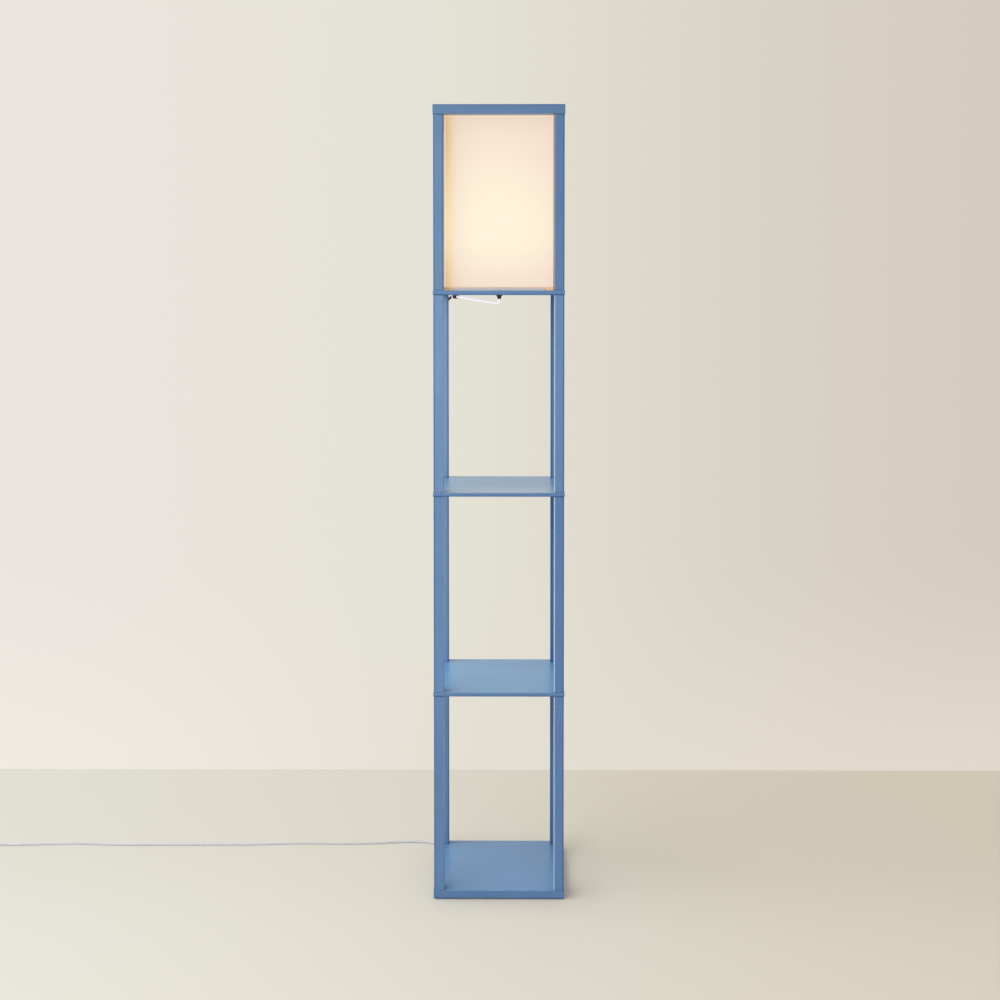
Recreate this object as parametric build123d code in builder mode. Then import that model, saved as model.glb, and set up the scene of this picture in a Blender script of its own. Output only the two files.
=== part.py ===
from build123d import *
import math
import os

# A shelf floor lamp: three open shelf bays under a lamp bay, on sixteen square posts.
# X runs to the right, Y to the back, Z up. The origin is the middle of the footprint on the floor.
# Every length is in millimetres.

# ---- Driving dimensions: the wooden tower ----
shelf_side = 264.0
base_thickness = 16.0
shelf_thickness = 8.0
lamp_shelf_thickness = 9.0
bay_height = 396.0
lamp_bay_height = 350.0
top_frame_height = 19.0
post_side = 20.0
post_set_in = 1.2
post_round = 1.0
post_end_chamfer = 0.6
board_corner_round = 1.2
board_edge_round = 0.8
pad_diameter = 18.0
pad_height = 2.0
pad_set_in = 34.0

# ---- Driving dimensions: fasteners ----
hole_clearance = 0.1
stud_diameter = 6.0
stud_reach = 24.0
base_screw_shank = 5.0
base_screw_head = 10.0
base_screw_reach = 32.0
dowel_diameter = 8.0
dowel_reach_down = 16.0
dowel_reach_up = 13.0
blind_hole_spare = 1.0

# ---- Driving dimensions: the shade ----
shade_gap = 1.05
shade_into_frame = 6.0
panel_thickness = 0.9
ring_wire = 3.0
ring_corner = 7.0
top_ring_below_edge = 0.6
bottom_ring_below_cloth = 0.5
rest_block_side = 14.0
rest_block_height = 5.6
rest_block_wall = 1.5
rest_block_round = 1.2

# ---- Driving dimensions: the lamp holder and its fixing ----
nipple_outer = 10.0
nipple_bore = 7.0
nipple_above = 12.0
nut_across_flats = 14.0
nut_thickness = 2.8
washer_diameter = 18.0
washer_thickness = 1.0
nut_pocket_diameter = 22.0
nut_pocket_depth = 4.4
relief_flange_diameter = 14.0
relief_flange_thickness = 1.2
relief_cone_diameter = 11.0
relief_mouth_diameter = 6.2
relief_drop = 8.2
relief_stem_length = 12.0
relief_bore = 4.2
lead_wire_diameter = 1.6
lead_wire_spread = 1.9
cap_foot_diameter = 31.0
holder_diameter = 39.0
cap_height = 24.0
cap_wall = 3.0
cap_floor = 2.5
shell_wall = 2.2
shell_height = 42.0
shell_lip_thickness = 3.0
shell_edge_round = 0.8
insert_height = 12.0
insert_boss_diameter = 16.0
insert_boss_height = 4.0
screw_shell_bore = 26.7
screw_shell_sheet = 0.4
screw_shell_height = 24.0
screw_shell_hem = 2.4
contact_width = 6.0
contact_sheet = 0.5
contact_set_in = 1.5
contact_rise = 2.0

# ---- Driving dimensions: the bulb ----
bulb_gap = 0.25
tip_diameter = 7.0
tip_height = 1.6
insulator_height = 3.0
insulator_foot_diameter = 11.0
insulator_top_diameter = 22.0
bulb_cap_foot_step = 0.4
bulb_cap_diameter = 26.0
bulb_cap_height = 21.0
collar_foot_diameter = 28.0
collar_top_diameter = 40.0
collar_height = 16.0
globe_diameter = 60.0
globe_above_collar = 34.0
globe_wall = 1.0
collar_foot_direction = (0.25, 1)
collar_rim_direction = (0.55, 1)

# ---- Driving dimensions: the cord and what is on it ----
cord_diameter = 4.4
cord_gap = 0.5
cord_arc_share = 0.45
cord_drop_aside = 0.7
cord_drop_clear = 1.1
coil_middle_diameter = 50.0
coil_turns_each_way = 2.5
coil_lead = 24.0
tie_thickness = 0.6
tie_width = 9.0
tie_gap = 0.3
tie_round = 2.0
tie_angle = 215.0
clip_bore_clearance = 0.8
shelf_clip_length = 12.0
shelf_clip_width = 8.0
post_clip_width = 8.8
post_clip_height = 12.0
post_clip_wall = 1.8
post_clip_mouth = 2.6
post_clip_heights = (1120.0, 640.0, 230.0)
switch_inlet_x = -1142.0
switch_y = 140.5
switch_length = 42.0
switch_width = 25.0
switch_height = 13.0
switch_nose_length = 10.0
switch_nose_diameter = 7.4
switch_corner_round = 8.0
switch_edge_round = 1.6
rocker_length = 15.0
rocker_width = 9.0
rocker_gap = 0.4
rocker_rise = 1.5
rocker_dish = 0.9
rocker_axis_depth = 2.7
rocker_tilt = 8.0
rocker_pin_diameter = 2.6
rocker_pin_reach = 1.6
rocker_pin_clearance = 0.08
plug_length = 24.0
plug_width = 23.0
plug_height = 13.0
plug_nose_length = 13.0
plug_nose_diameter = 7.0
plug_shoulder_side = 2.0
plug_shoulder_top = 0.8
plug_edge_round = 1.2
grip_grooves = 4
grip_spacing = 3.6
grip_width = 1.4
grip_depth = 0.6
grip_from_face = 6.0
blade_length = 17.0
blade_height = 6.3
blade_thickness = 1.5
blade_spacing = 12.7
blade_hole_diameter = 3.0
blade_hole_from_tip = 4.0
blade_tip_chamfer = 0.5

# ---- Levels and places that follow ----
base_bottom = pad_height
base_top = base_bottom + base_thickness
lower_shelf_bottom = base_top + bay_height
lower_shelf_top = lower_shelf_bottom + shelf_thickness
upper_shelf_bottom = lower_shelf_top + bay_height
upper_shelf_top = upper_shelf_bottom + shelf_thickness
lamp_shelf_bottom = upper_shelf_top + bay_height
lamp_shelf_top = lamp_shelf_bottom + lamp_shelf_thickness
frame_bottom = lamp_shelf_top + lamp_bay_height
frame_top = frame_bottom + top_frame_height
half_shelf = shelf_side / 2
post_outer = half_shelf - post_set_in
post_inner = post_outer - post_side
post_centre = post_outer - post_side / 2
rail_width = half_shelf - post_inner
corners = {
    "front_left": (-1, -1),
    "front_right": (1, -1),
    "back_left": (-1, 1),
    "back_right": (1, 1),
}

standing = (Align.CENTER, Align.CENTER, Align.MIN)

os.makedirs("parts", exist_ok=True)


def save(piece, name):
    piece.part.label = name
    export_step(piece.part, f"parts/{name}.step")


# ---- Foot pads ----
pad_centre = half_shelf - pad_set_in
with BuildPart() as foot_pads:
    with GridLocations(2 * pad_centre, 2 * pad_centre, 2, 2):
        Cylinder(pad_diameter / 2, pad_height, align=standing)
save(foot_pads, "foot_pads")


# ---- Boards: the base and the three shelves ----
def board_blank(bottom, thickness):
    with BuildPart() as blank:
        with BuildSketch(Plane.XY.offset(bottom)):
            Rectangle(shelf_side, shelf_side)
        extrude(amount=thickness)
        fillet(blank.edges().filter_by(Axis.Z), board_corner_round)
        level_faces = blank.faces().filter_by(Axis.Z)
        fillet(level_faces.edges(), board_edge_round)
    return blank.part


stud_hole_radius = stud_diameter / 2 + hole_clearance
screw_hole_radius = base_screw_shank / 2 + hole_clearance
screw_sink_radius = base_screw_head / 2 + hole_clearance
sink_depth = (base_screw_head - base_screw_shank) / 2

with BuildPart() as base_board:
    add(board_blank(base_bottom, base_thickness))
    with BuildSketch(Plane.XY.offset(base_bottom)):
        with GridLocations(2 * post_centre, 2 * post_centre, 2, 2):
            Circle(screw_hole_radius)
    extrude(amount=base_thickness, mode=Mode.SUBTRACT)
    with Locations((0, 0, base_bottom)):
        with GridLocations(2 * post_centre, 2 * post_centre, 2, 2):
            Cone(screw_sink_radius, screw_hole_radius, sink_depth, align=standing, mode=Mode.SUBTRACT)
save(base_board, "base_board")

for shelf_name, shelf_bottom in (
    ("lower_shelf", lower_shelf_bottom),
    ("upper_shelf", upper_shelf_bottom),
):
    with BuildPart() as shelf:
        add(board_blank(shelf_bottom, shelf_thickness))
        with BuildSketch(Plane.XY.offset(shelf_bottom)):
            with GridLocations(2 * post_centre, 2 * post_centre, 2, 2):
                Circle(stud_hole_radius)
        extrude(amount=shelf_thickness, mode=Mode.SUBTRACT)
    save(shelf, shelf_name)

# The lamp shelf has the nipple's hole, with a pocket for its nut on the underside.
with BuildPart() as lamp_shelf:
    add(board_blank(lamp_shelf_bottom, lamp_shelf_thickness))
    with BuildSketch(Plane.XY.offset(lamp_shelf_bottom)):
        with GridLocations(2 * post_centre, 2 * post_centre, 2, 2):
            Circle(stud_hole_radius)
        Circle(nipple_outer / 2 + hole_clearance)
    extrude(amount=lamp_shelf_thickness, mode=Mode.SUBTRACT)
    with BuildSketch(Plane.XY.offset(lamp_shelf_bottom)):
        Circle(nut_pocket_diameter / 2)
    extrude(amount=nut_pocket_depth, mode=Mode.SUBTRACT)
save(lamp_shelf, "lamp_shelf")


# ---- Posts: four to a tier, each with blind holes for what joins it at its ends ----
def post(name, side_x, side_y, bottom, top, hole_below, hole_above):
    place = (side_x * post_centre, side_y * post_centre)
    with BuildPart() as one_post:
        with BuildSketch(Plane.XY.offset(bottom)) as outline:
            with Locations(place):
                Rectangle(post_side, post_side)
            fillet(outline.vertices(), post_round)
        extrude(amount=top - bottom)
        chamfer(one_post.faces().filter_by(Axis.Z).edges(), post_end_chamfer)
        radius, depth = hole_below
        with BuildSketch(Plane.XY.offset(bottom)):
            with Locations(place):
                Circle(radius)
        extrude(amount=depth, mode=Mode.SUBTRACT)
        radius, depth = hole_above
        with BuildSketch(Plane.XY.offset(top)):
            with Locations(place):
                Circle(radius)
        extrude(amount=-depth, mode=Mode.SUBTRACT)
    save(one_post, name)


stud_hole = (stud_hole_radius, stud_reach + blind_hole_spare)
screw_hole = (screw_hole_radius, base_screw_reach + blind_hole_spare)
dowel_hole = (dowel_diameter / 2 + hole_clearance, dowel_reach_down + blind_hole_spare)
tiers = {
    "lower_bay": (base_top, lower_shelf_bottom, screw_hole, stud_hole),
    "middle_bay": (lower_shelf_top, upper_shelf_bottom, stud_hole, stud_hole),
    "upper_bay": (upper_shelf_top, lamp_shelf_bottom, stud_hole, stud_hole),
    "lamp_bay": (lamp_shelf_top, frame_bottom, stud_hole, dowel_hole),
}
for tier_name, (tier_bottom, tier_top, below, above) in tiers.items():
    for corner_name, (side_x, side_y) in corners.items():
        post(f"{tier_name}_post_{corner_name}", side_x, side_y, tier_bottom, tier_top, below, above)


# ---- Top frame: two full-length rails and two between them, round an open window ----
def frame_rail(name, length, middle_x, middle_y, along_x):
    size_x, size_y = (length, rail_width) if along_x else (rail_width, length)
    grain = Axis.X if along_x else Axis.Y
    across = Axis.Y if along_x else Axis.X
    outside = -1 if (middle_y if along_x else middle_x) > 0 else 0
    with BuildPart() as rail:
        with BuildSketch(Plane.XY.offset(frame_bottom)):
            with Locations((middle_x, middle_y)):
                Rectangle(size_x, size_y)
        extrude(amount=top_frame_height)
        if along_x:
            fillet(rail.edges().filter_by(Axis.Z).group_by(across)[outside], board_corner_round)
        outer_face = rail.faces().filter_by(across).sort_by(across)[outside]
        fillet(outer_face.edges().filter_by(grain), board_edge_round)
        if along_x:
            with BuildSketch(Plane.XY.offset(frame_bottom)):
                with Locations((0, math.copysign(post_centre, middle_y))):
                    with GridLocations(2 * post_centre, 0, 2, 1):
                        Circle(dowel_diameter / 2 + hole_clearance)
            extrude(amount=dowel_reach_up + blind_hole_spare, mode=Mode.SUBTRACT)
    save(rail, name)


rail_middle = half_shelf - rail_width / 2
frame_rail("top_rail_front", shelf_side, 0, -rail_middle, True)
frame_rail("top_rail_back", shelf_side, 0, rail_middle, True)
frame_rail("top_rail_left", shelf_side - 2 * rail_width, -rail_middle, 0, False)
frame_rail("top_rail_right", shelf_side - 2 * rail_width, rail_middle, 0, False)

# ---- Fasteners of the tower ----
with BuildPart() as joining_studs:
    for stud_shelf_bottom, stud_shelf_top in (
        (lower_shelf_bottom, lower_shelf_top),
        (upper_shelf_bottom, upper_shelf_top),
        (lamp_shelf_bottom, lamp_shelf_top),
    ):
        with BuildSketch(Plane.XY.offset(stud_shelf_bottom - stud_reach)):
            with GridLocations(2 * post_centre, 2 * post_centre, 2, 2):
                Circle(stud_diameter / 2)
        extrude(amount=stud_shelf_top - stud_shelf_bottom + 2 * stud_reach)
save(joining_studs, "joining_studs")

with BuildPart() as base_screws:
    with Locations((0, 0, base_bottom)):
        with GridLocations(2 * post_centre, 2 * post_centre, 2, 2):
            Cone(base_screw_head / 2, base_screw_shank / 2, sink_depth, align=standing)
    with Locations((0, 0, base_bottom + sink_depth)):
        with GridLocations(2 * post_centre, 2 * post_centre, 2, 2):
            shank_length = base_thickness - sink_depth + base_screw_reach
            Cylinder(base_screw_shank / 2, shank_length, align=standing)
save(base_screws, "base_screws")

with BuildPart() as top_dowels:
    with BuildSketch(Plane.XY.offset(frame_bottom - dowel_reach_down)):
        with GridLocations(2 * post_centre, 2 * post_centre, 2, 2):
            Circle(dowel_diameter / 2)
    extrude(amount=dowel_reach_down + dowel_reach_up)
save(top_dowels, "top_dowels")

# ---- Shade: four cloth-faced panels on two square wire rings, the lower one in corner feet ----
shade_half = post_inner - shade_gap
shade_bottom = lamp_shelf_top + rest_block_height
shade_top = frame_bottom + shade_into_frame
panel_inside = shade_half - panel_thickness


def square_ring(centre_half, level, wire):
    with BuildPart() as ring:
        with BuildLine(Plane.XY.offset(level)) as ring_line:
            FilletPolyline(
                (-centre_half, -centre_half),
                (centre_half, -centre_half),
                (centre_half, centre_half),
                (-centre_half, centre_half),
                radius=ring_corner,
                close=True,
            )
        with BuildSketch(Plane(ring_line.line @ 0, z_dir=ring_line.line % 0)):
            Circle(wire / 2)
        sweep()
    return ring


for side_name, quarter_turns in (("front", 0), ("right", 1), ("back", 2), ("left", 3)):
    with BuildPart() as panel:
        with BuildSketch(Plane.XY.offset(shade_bottom).rotated((0, 0, 90 * quarter_turns))):
            with BuildLine():
                Polyline(
                    (-shade_half, -shade_half),
                    (shade_half, -shade_half),
                    (panel_inside, -panel_inside),
                    (-panel_inside, -panel_inside),
                    close=True,
                )
            make_face()
        extrude(amount=shade_top - shade_bottom)
    save(panel, f"shade_panel_{side_name}")

bottom_ring_half = shade_half - rest_block_wall - ring_wire / 2
bottom_ring_level = shade_bottom - bottom_ring_below_cloth - ring_wire / 2
top_ring_half = panel_inside - ring_wire / 2
top_ring_level = shade_top - top_ring_below_edge - ring_wire / 2
save(square_ring(bottom_ring_half, bottom_ring_level, ring_wire), "shade_bottom_ring")
save(square_ring(top_ring_half, top_ring_level, ring_wire), "shade_top_ring")

# Each corner foot is moulded round the lower ring, and carries the corner of two panels.
ring_bore = square_ring(bottom_ring_half, bottom_ring_level, ring_wire + 2 * hole_clearance)
block_middle = shade_half - rest_block_side / 2
with BuildPart() as shade_rest_blocks:
    with BuildSketch(Plane.XY.offset(lamp_shelf_top)) as block_outline:
        with GridLocations(2 * block_middle, 2 * block_middle, 2, 2):
            Rectangle(rest_block_side, rest_block_side)
        fillet(block_outline.vertices(), rest_block_round)
    extrude(amount=rest_block_height)
    add(ring_bore.part, mode=Mode.SUBTRACT)
save(shade_rest_blocks, "shade_rest_blocks")

# ---- Lamp holder fixing: strain relief, nipple, washer and nuts ----
mouth_z = lamp_shelf_bottom - relief_drop
flange_bottom = lamp_shelf_bottom - relief_flange_thickness
relief_stem_radius = nipple_bore / 2 - hole_clearance
with BuildPart() as strain_relief:
    with BuildSketch(Plane.XZ):
        with BuildLine():
            Polyline(
                (relief_bore / 2, mouth_z),
                (relief_mouth_diameter / 2, mouth_z),
                (relief_cone_diameter / 2, flange_bottom),
                (relief_flange_diameter / 2, flange_bottom),
                (relief_flange_diameter / 2, lamp_shelf_bottom),
                (relief_stem_radius, lamp_shelf_bottom),
                (relief_stem_radius, lamp_shelf_bottom + relief_stem_length),
                (relief_bore / 2, lamp_shelf_bottom + relief_stem_length),
                close=True,
            )
        make_face()
    revolve(axis=Axis.Z)
save(strain_relief, "strain_relief")

pocket_top = lamp_shelf_bottom + nut_pocket_depth
washer_bottom = pocket_top - washer_thickness
lower_nut_bottom = washer_bottom - nut_thickness
upper_nut_bottom = lamp_shelf_top + cap_floor
nipple_bottom = lower_nut_bottom
nipple_top = lamp_shelf_top + nipple_above
nut_bore_radius = nipple_outer / 2 + hole_clearance

with BuildPart() as threaded_nipple:
    with BuildSketch(Plane.XY.offset(nipple_bottom)):
        Circle(nipple_outer / 2)
        Circle(nipple_bore / 2, mode=Mode.SUBTRACT)
    extrude(amount=nipple_top - nipple_bottom)
save(threaded_nipple, "threaded_nipple")

with BuildPart() as nipple_washer:
    with BuildSketch(Plane.XY.offset(washer_bottom)):
        Circle(washer_diameter / 2)
        Circle(nut_bore_radius, mode=Mode.SUBTRACT)
    extrude(amount=washer_thickness)
save(nipple_washer, "nipple_washer")

with BuildPart() as nipple_nuts:
    for nut_bottom in (lower_nut_bottom, upper_nut_bottom):
        with BuildSketch(Plane.XY.offset(nut_bottom)):
            RegularPolygon(nut_across_flats / 2, 6, major_radius=False)
            Circle(nut_bore_radius, mode=Mode.SUBTRACT)
        extrude(amount=nut_thickness)
save(nipple_nuts, "nipple_nuts")

# ---- Lamp holder ----
holder_radius = holder_diameter / 2
cap_top = lamp_shelf_top + cap_height
shell_bore_radius = holder_radius - shell_wall
insert_radius = shell_bore_radius - hole_clearance
insert_top = cap_top + insert_height
boss_top = insert_top + insert_boss_height
screw_shell_radius = screw_shell_bore / 2
shell_top = cap_top + shell_height

with BuildPart() as holder_cap:
    with BuildSketch(Plane.XZ):
        with BuildLine():
            Polyline(
                (nut_bore_radius, lamp_shelf_top),
                (cap_foot_diameter / 2, lamp_shelf_top),
                (holder_radius, cap_top),
                (holder_radius - cap_wall, cap_top),
                (cap_foot_diameter / 2 - cap_wall, lamp_shelf_top + cap_floor),
                (nut_bore_radius, lamp_shelf_top + cap_floor),
                close=True,
            )
        make_face()
    revolve(axis=Axis.Z)
save(holder_cap, "holder_cap")

with BuildPart() as holder_shell:
    lip_radius = screw_shell_radius + screw_shell_sheet + hole_clearance
    lip_bottom = shell_top - shell_lip_thickness
    with BuildSketch(Plane.XZ):
        with BuildLine():
            Polyline(
                (shell_bore_radius, cap_top),
                (holder_radius, cap_top),
                (holder_radius - shell_wall / 2, shell_top),
                (lip_radius, shell_top),
                (lip_radius, lip_bottom),
                (shell_bore_radius, lip_bottom),
                close=True,
            )
        make_face()
    revolve(axis=Axis.Z)
    top_circles = holder_shell.edges().filter_by(GeomType.CIRCLE).group_by(Axis.Z)[-1]
    fillet(top_circles.sort_by(SortBy.RADIUS)[-1], shell_edge_round)
save(holder_shell, "holder_shell")

with BuildPart() as holder_insert:
    with BuildSketch(Plane.XY.offset(cap_top)):
        Circle(insert_radius)
    extrude(amount=insert_height)
    with BuildSketch(Plane.XY.offset(insert_top)):
        Circle(insert_boss_diameter / 2)
    extrude(amount=insert_boss_height)
save(holder_insert, "holder_insert")

# The brass shell stands on the insert, round its boss, on an inward hem.
with BuildPart() as screw_shell:
    with BuildSketch(Plane.XZ):
        with BuildLine():
            Polyline(
                (screw_shell_radius - screw_shell_hem, insert_top),
                (screw_shell_radius + screw_shell_sheet, insert_top),
                (screw_shell_radius + screw_shell_sheet, insert_top + screw_shell_height),
                (screw_shell_radius, insert_top + screw_shell_height),
                (screw_shell_radius, insert_top + screw_shell_sheet),
                (screw_shell_radius - screw_shell_hem, insert_top + screw_shell_sheet),
                close=True,
            )
        make_face()
    revolve(axis=Axis.Z)
save(screw_shell, "screw_shell")

# The centre contact lies on the boss and springs up to the bulb's tip.
contact_half = insert_boss_diameter / 2 - contact_set_in
tongue_start = -contact_half / 3
with BuildPart() as centre_contact:
    with BuildSketch(Plane.XZ.offset(-contact_width / 2)):
        with BuildLine():
            Polyline(
                (-contact_half, boss_top),
                (tongue_start, boss_top),
                (0, boss_top + contact_rise - contact_sheet),
                (contact_half, boss_top + contact_rise - contact_sheet),
                (contact_half, boss_top + contact_rise),
                (0, boss_top + contact_rise),
                (tongue_start, boss_top + contact_sheet),
                (-contact_half, boss_top + contact_sheet),
                close=True,
            )
        make_face()
    extrude(amount=contact_width)
save(centre_contact, "centre_contact")

with BuildPart() as lead_wires:
    with BuildSketch(Plane.XY.offset(mouth_z)):
        with GridLocations(lead_wire_spread, 0, 2, 1):
            Circle(lead_wire_diameter / 2)
    extrude(amount=cap_top - mouth_z)
save(lead_wires, "lead_wires")

# ---- Bulb ----
tip_bottom = boss_top + contact_rise + bulb_gap
insulator_bottom = tip_bottom + tip_height
bulb_cap_bottom = insulator_bottom + insulator_height
collar_bottom = bulb_cap_bottom + bulb_cap_height
collar_top = collar_bottom + collar_height
globe_centre = collar_top + globe_above_collar
globe_radius = globe_diameter / 2

with BuildPart() as bulb_tip_contact:
    with BuildSketch(Plane.XY.offset(tip_bottom)):
        Circle(tip_diameter / 2)
    extrude(amount=tip_height)
save(bulb_tip_contact, "bulb_tip_contact")

with BuildPart() as bulb_insulator:
    with BuildSketch(Plane.XY.offset(insulator_bottom)):
        Circle(insulator_foot_diameter / 2)
    with BuildSketch(Plane.XY.offset(bulb_cap_bottom)):
        Circle(insulator_top_diameter / 2)
    loft()
save(bulb_insulator, "bulb_insulator")

with BuildPart() as bulb_screw_cap:
    with BuildSketch(Plane.XY.offset(bulb_cap_bottom)):
        Circle(bulb_cap_diameter / 2)
    extrude(amount=bulb_cap_height)
    foot_edges = bulb_screw_cap.faces().sort_by(Axis.Z)[0].edges()
    chamfer(foot_edges, (bulb_cap_diameter - insulator_top_diameter) / 2 - bulb_cap_foot_step)
save(bulb_screw_cap, "bulb_screw_cap")

with BuildPart() as bulb_collar:
    with BuildSketch(Plane.XZ):
        with BuildLine():
            foot = (collar_foot_diameter / 2, collar_bottom)
            rim = (collar_top_diameter / 2, collar_top)
            Line((0, collar_bottom), foot)
            Spline(foot, rim, tangents=[collar_foot_direction, collar_rim_direction])
            Line(rim, (0, collar_top))
            Line((0, collar_top), (0, collar_bottom))
        make_face()
    revolve(axis=Axis.Z)
save(bulb_collar, "bulb_collar")

# The glass rises from the collar's rim, swells to the globe and closes in a dome.
neck_radius = collar_top_diameter / 2
neck_to_centre = globe_centre - collar_top
reach = math.hypot(neck_radius, neck_to_centre)
tangent_angle = math.acos(globe_radius / reach) - math.atan2(neck_to_centre, neck_radius)
with BuildPart() as bulb_envelope:
    with BuildSketch(Plane.XZ):
        with BuildLine():
            foot = Vector(neck_radius, collar_top)
            to_belly = Vector(globe_radius, 0).rotate(Axis.Z, math.degrees(tangent_angle))
            belly = Vector(0, globe_centre) + to_belly
            crown = Vector(0, globe_centre + globe_radius)
            Line((0, collar_top), foot)
            Line(foot, belly)
            TangentArc(belly, crown, tangent=belly - foot)
            Line(crown, (0, collar_top))
        make_face()
    revolve(axis=Axis.Z)
    offset(amount=-globe_wall, openings=bulb_envelope.faces().sort_by(Axis.Z)[0])
save(bulb_envelope, "bulb_envelope")

# ---- Supply cord: down out of the strain relief, along to the shelf clip, behind the back left
# post, down it, and over the floor to the left as far as the switch ----
cord_radius = cord_diameter / 2
floor_z = cord_radius
drop_x = -post_centre - cord_drop_aside
drop_y = half_shelf + cord_radius + cord_drop_clear
switch_z = switch_height / 2
supply_points = [
    (0, 0, mouth_z),
    (0, 0, mouth_z - 4.4),
    (-2.2, 2.5, mouth_z - 7.6),
    (-7.0, 8.4, mouth_z - 8.0),
    (-16.5, 20.2, mouth_z - 7.0),
    (-35.0, 43.0, mouth_z - 4.6),
    (-62.0, 75.0, mouth_z + 0.2),
    (-post_inner + 23.8, post_inner - 6.3, mouth_z + 4.7),
    (-post_inner + 7.8, half_shelf - 7.0, mouth_z + 4.6),
    (-post_inner + 1.3, half_shelf + 3.1, mouth_z - 0.2),
    (-post_inner - 3.6, half_shelf + 9.6, mouth_z - 10.3),
    (drop_x + 4.0, half_shelf + 10.7, mouth_z - 23.9),
    (drop_x + 2.4, drop_y + 4.2, mouth_z - 39.5),
    (drop_x, drop_y, mouth_z - 62.0),
    (drop_x, drop_y, floor_z + 14.1),
    (drop_x - 10.4, drop_y + 9.5, floor_z),
    (-152.0, 163.0, floor_z),
    (-206.0, 166.0, floor_z),
    (-266.0, 156.2, floor_z),
    (-327.0, 152.6, floor_z),
    (-388.0, 153.8, floor_z),
    (-449.0, 154.9, floor_z),
    (-508.0, 150.4, floor_z),
    (-570.0, 146.6, floor_z),
    (-634.0, 146.9, floor_z),
    (-697.0, 144.6, floor_z),
    (-760.0, 145.3, floor_z),
    (-822.0, 143.9, floor_z),
    (-876.0, 145.4, floor_z),
    (-930.0, 151.2, floor_z),
    (-986.0, 149.0, floor_z),
    (-1044.0, 144.0, floor_z),
    (-1098.0, 141.6, floor_z),
    (-1124.0, switch_y, switch_z),
    (switch_inlet_x, switch_y, switch_z),
]


def bend_radii(points):
    radii = []
    for before, here, after in zip(points, points[1:], points[2:]):
        run_in, run_out = Vector(*here) - Vector(*before), Vector(*after) - Vector(*here)
        half_turn = math.radians(run_in.get_angle(run_out)) / 2
        radii.append(cord_arc_share * min(run_in.length, run_out.length) / math.tan(half_turn))
    return radii


supply_radii = bend_radii(supply_points)
with BuildPart() as supply_cord:
    with BuildLine() as supply_line:
        FilletPolyline(*supply_points, radius=supply_radii)
    with BuildSketch(Plane(supply_line.line @ 0, z_dir=supply_line.line % 0)):
        Circle(cord_radius)
    sweep()
save(supply_cord, "supply_cord")
supply_length = supply_line.wire().length
print("supply cord length", round(supply_length, 1), "bend radii", [round(r, 1) for r in supply_radii])
print(
    "supply cord volume over section times length",
    round(supply_cord.part.volume / (math.pi * cord_radius**2 * supply_length), 4),
)

# ---- Clips that hold the cord: one under the lamp shelf, three down the back left post ----
clip_bore_radius = cord_radius + clip_bore_clearance
clip_from, clip_to = Vector(*supply_points[7]), Vector(*supply_points[8])
clip_middle = (clip_from + clip_to) / 2
clip_along = Vector(clip_to.X - clip_from.X, clip_to.Y - clip_from.Y, 0)
clip_across = Vector(0, 0, 1).cross(clip_along).normalized()
with BuildPart() as shelf_cord_clip:
    clip_plane = Plane(
        (clip_middle.X, clip_middle.Y, lamp_shelf_bottom), x_dir=clip_across, z_dir=clip_along
    )
    cord_below_shelf = lamp_shelf_bottom - clip_middle.Z
    with BuildSketch(clip_plane) as saddle:
        with Locations((0, -cord_below_shelf)):
            Circle(shelf_clip_width / 2)
        with Locations((0, -cord_below_shelf / 2)):
            Rectangle(shelf_clip_width, cord_below_shelf)
        with Locations((0, -cord_below_shelf)):
            Circle(clip_bore_radius, mode=Mode.SUBTRACT)
    extrude(amount=shelf_clip_length / 2, both=True)
    split(bisect_by=Plane.XY.offset(lamp_shelf_bottom), keep=Keep.BOTTOM)
save(shelf_cord_clip, "shelf_cord_clip")

with BuildPart() as post_cord_clips:
    for clip_height in post_clip_heights:
        with BuildSketch(Plane.XY.offset(clip_height - post_clip_height / 2)):
            with Locations((drop_x, (post_outer + drop_y) / 2)):
                Rectangle(post_clip_width, drop_y - post_outer)
            with Locations((drop_x, drop_y)):
                Circle(post_clip_width / 2)
                Circle(post_clip_width / 2 - post_clip_wall, mode=Mode.SUBTRACT)
            with Locations((drop_x - post_clip_width / 2, drop_y)):
                Rectangle(post_clip_width, post_clip_mouth, mode=Mode.SUBTRACT)
        extrude(amount=post_clip_height)
save(post_cord_clips, "post_cord_clips")

# ---- Inline switch: two housing halves and a rocker on its own pins ----
switch_middle_x = switch_inlet_x - switch_nose_length - switch_length / 2
switch_outlet_x = switch_middle_x - switch_length / 2 - switch_nose_length
well_half_length = rocker_length / 2 + rocker_gap
well_half_width = rocker_width / 2 + rocker_gap


def switch_half(bottom, height, rim_at_top):
    with BuildPart() as half:
        with BuildSketch(Plane.XY.offset(bottom)):
            with Locations((switch_middle_x, switch_y)):
                RectangleRounded(switch_length, switch_width, switch_corner_round)
        extrude(amount=height)
        rim_face = half.faces().sort_by(Axis.Z)[-1 if rim_at_top else 0]
        fillet(rim_face.edges(), switch_edge_round)
        for end in (-1, 1):
            face_x = switch_middle_x + end * (switch_length / 2 - switch_corner_round / 2)
            with BuildSketch(Plane((face_x, switch_y, switch_z), z_dir=(end, 0, 0))):
                Circle(switch_width / 4)
            nose_plane = Plane(
                (switch_middle_x + end * (switch_length / 2 + switch_nose_length), switch_y, switch_z),
                z_dir=(end, 0, 0),
            )
            with BuildSketch(nose_plane):
                Circle(switch_nose_diameter / 2)
            loft()
        with BuildSketch(Plane.XY.offset(switch_z)):
            with Locations((switch_middle_x, switch_y)):
                Rectangle(2 * switch_length, 2 * switch_width)
        extrude(amount=-switch_height if rim_at_top else switch_height, mode=Mode.SUBTRACT)
    return half.part


rocker_axis_z = switch_height - rocker_axis_depth
with BuildPart() as switch_base:
    add(switch_half(0, switch_z, False))
save(switch_base, "switch_base")

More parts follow.
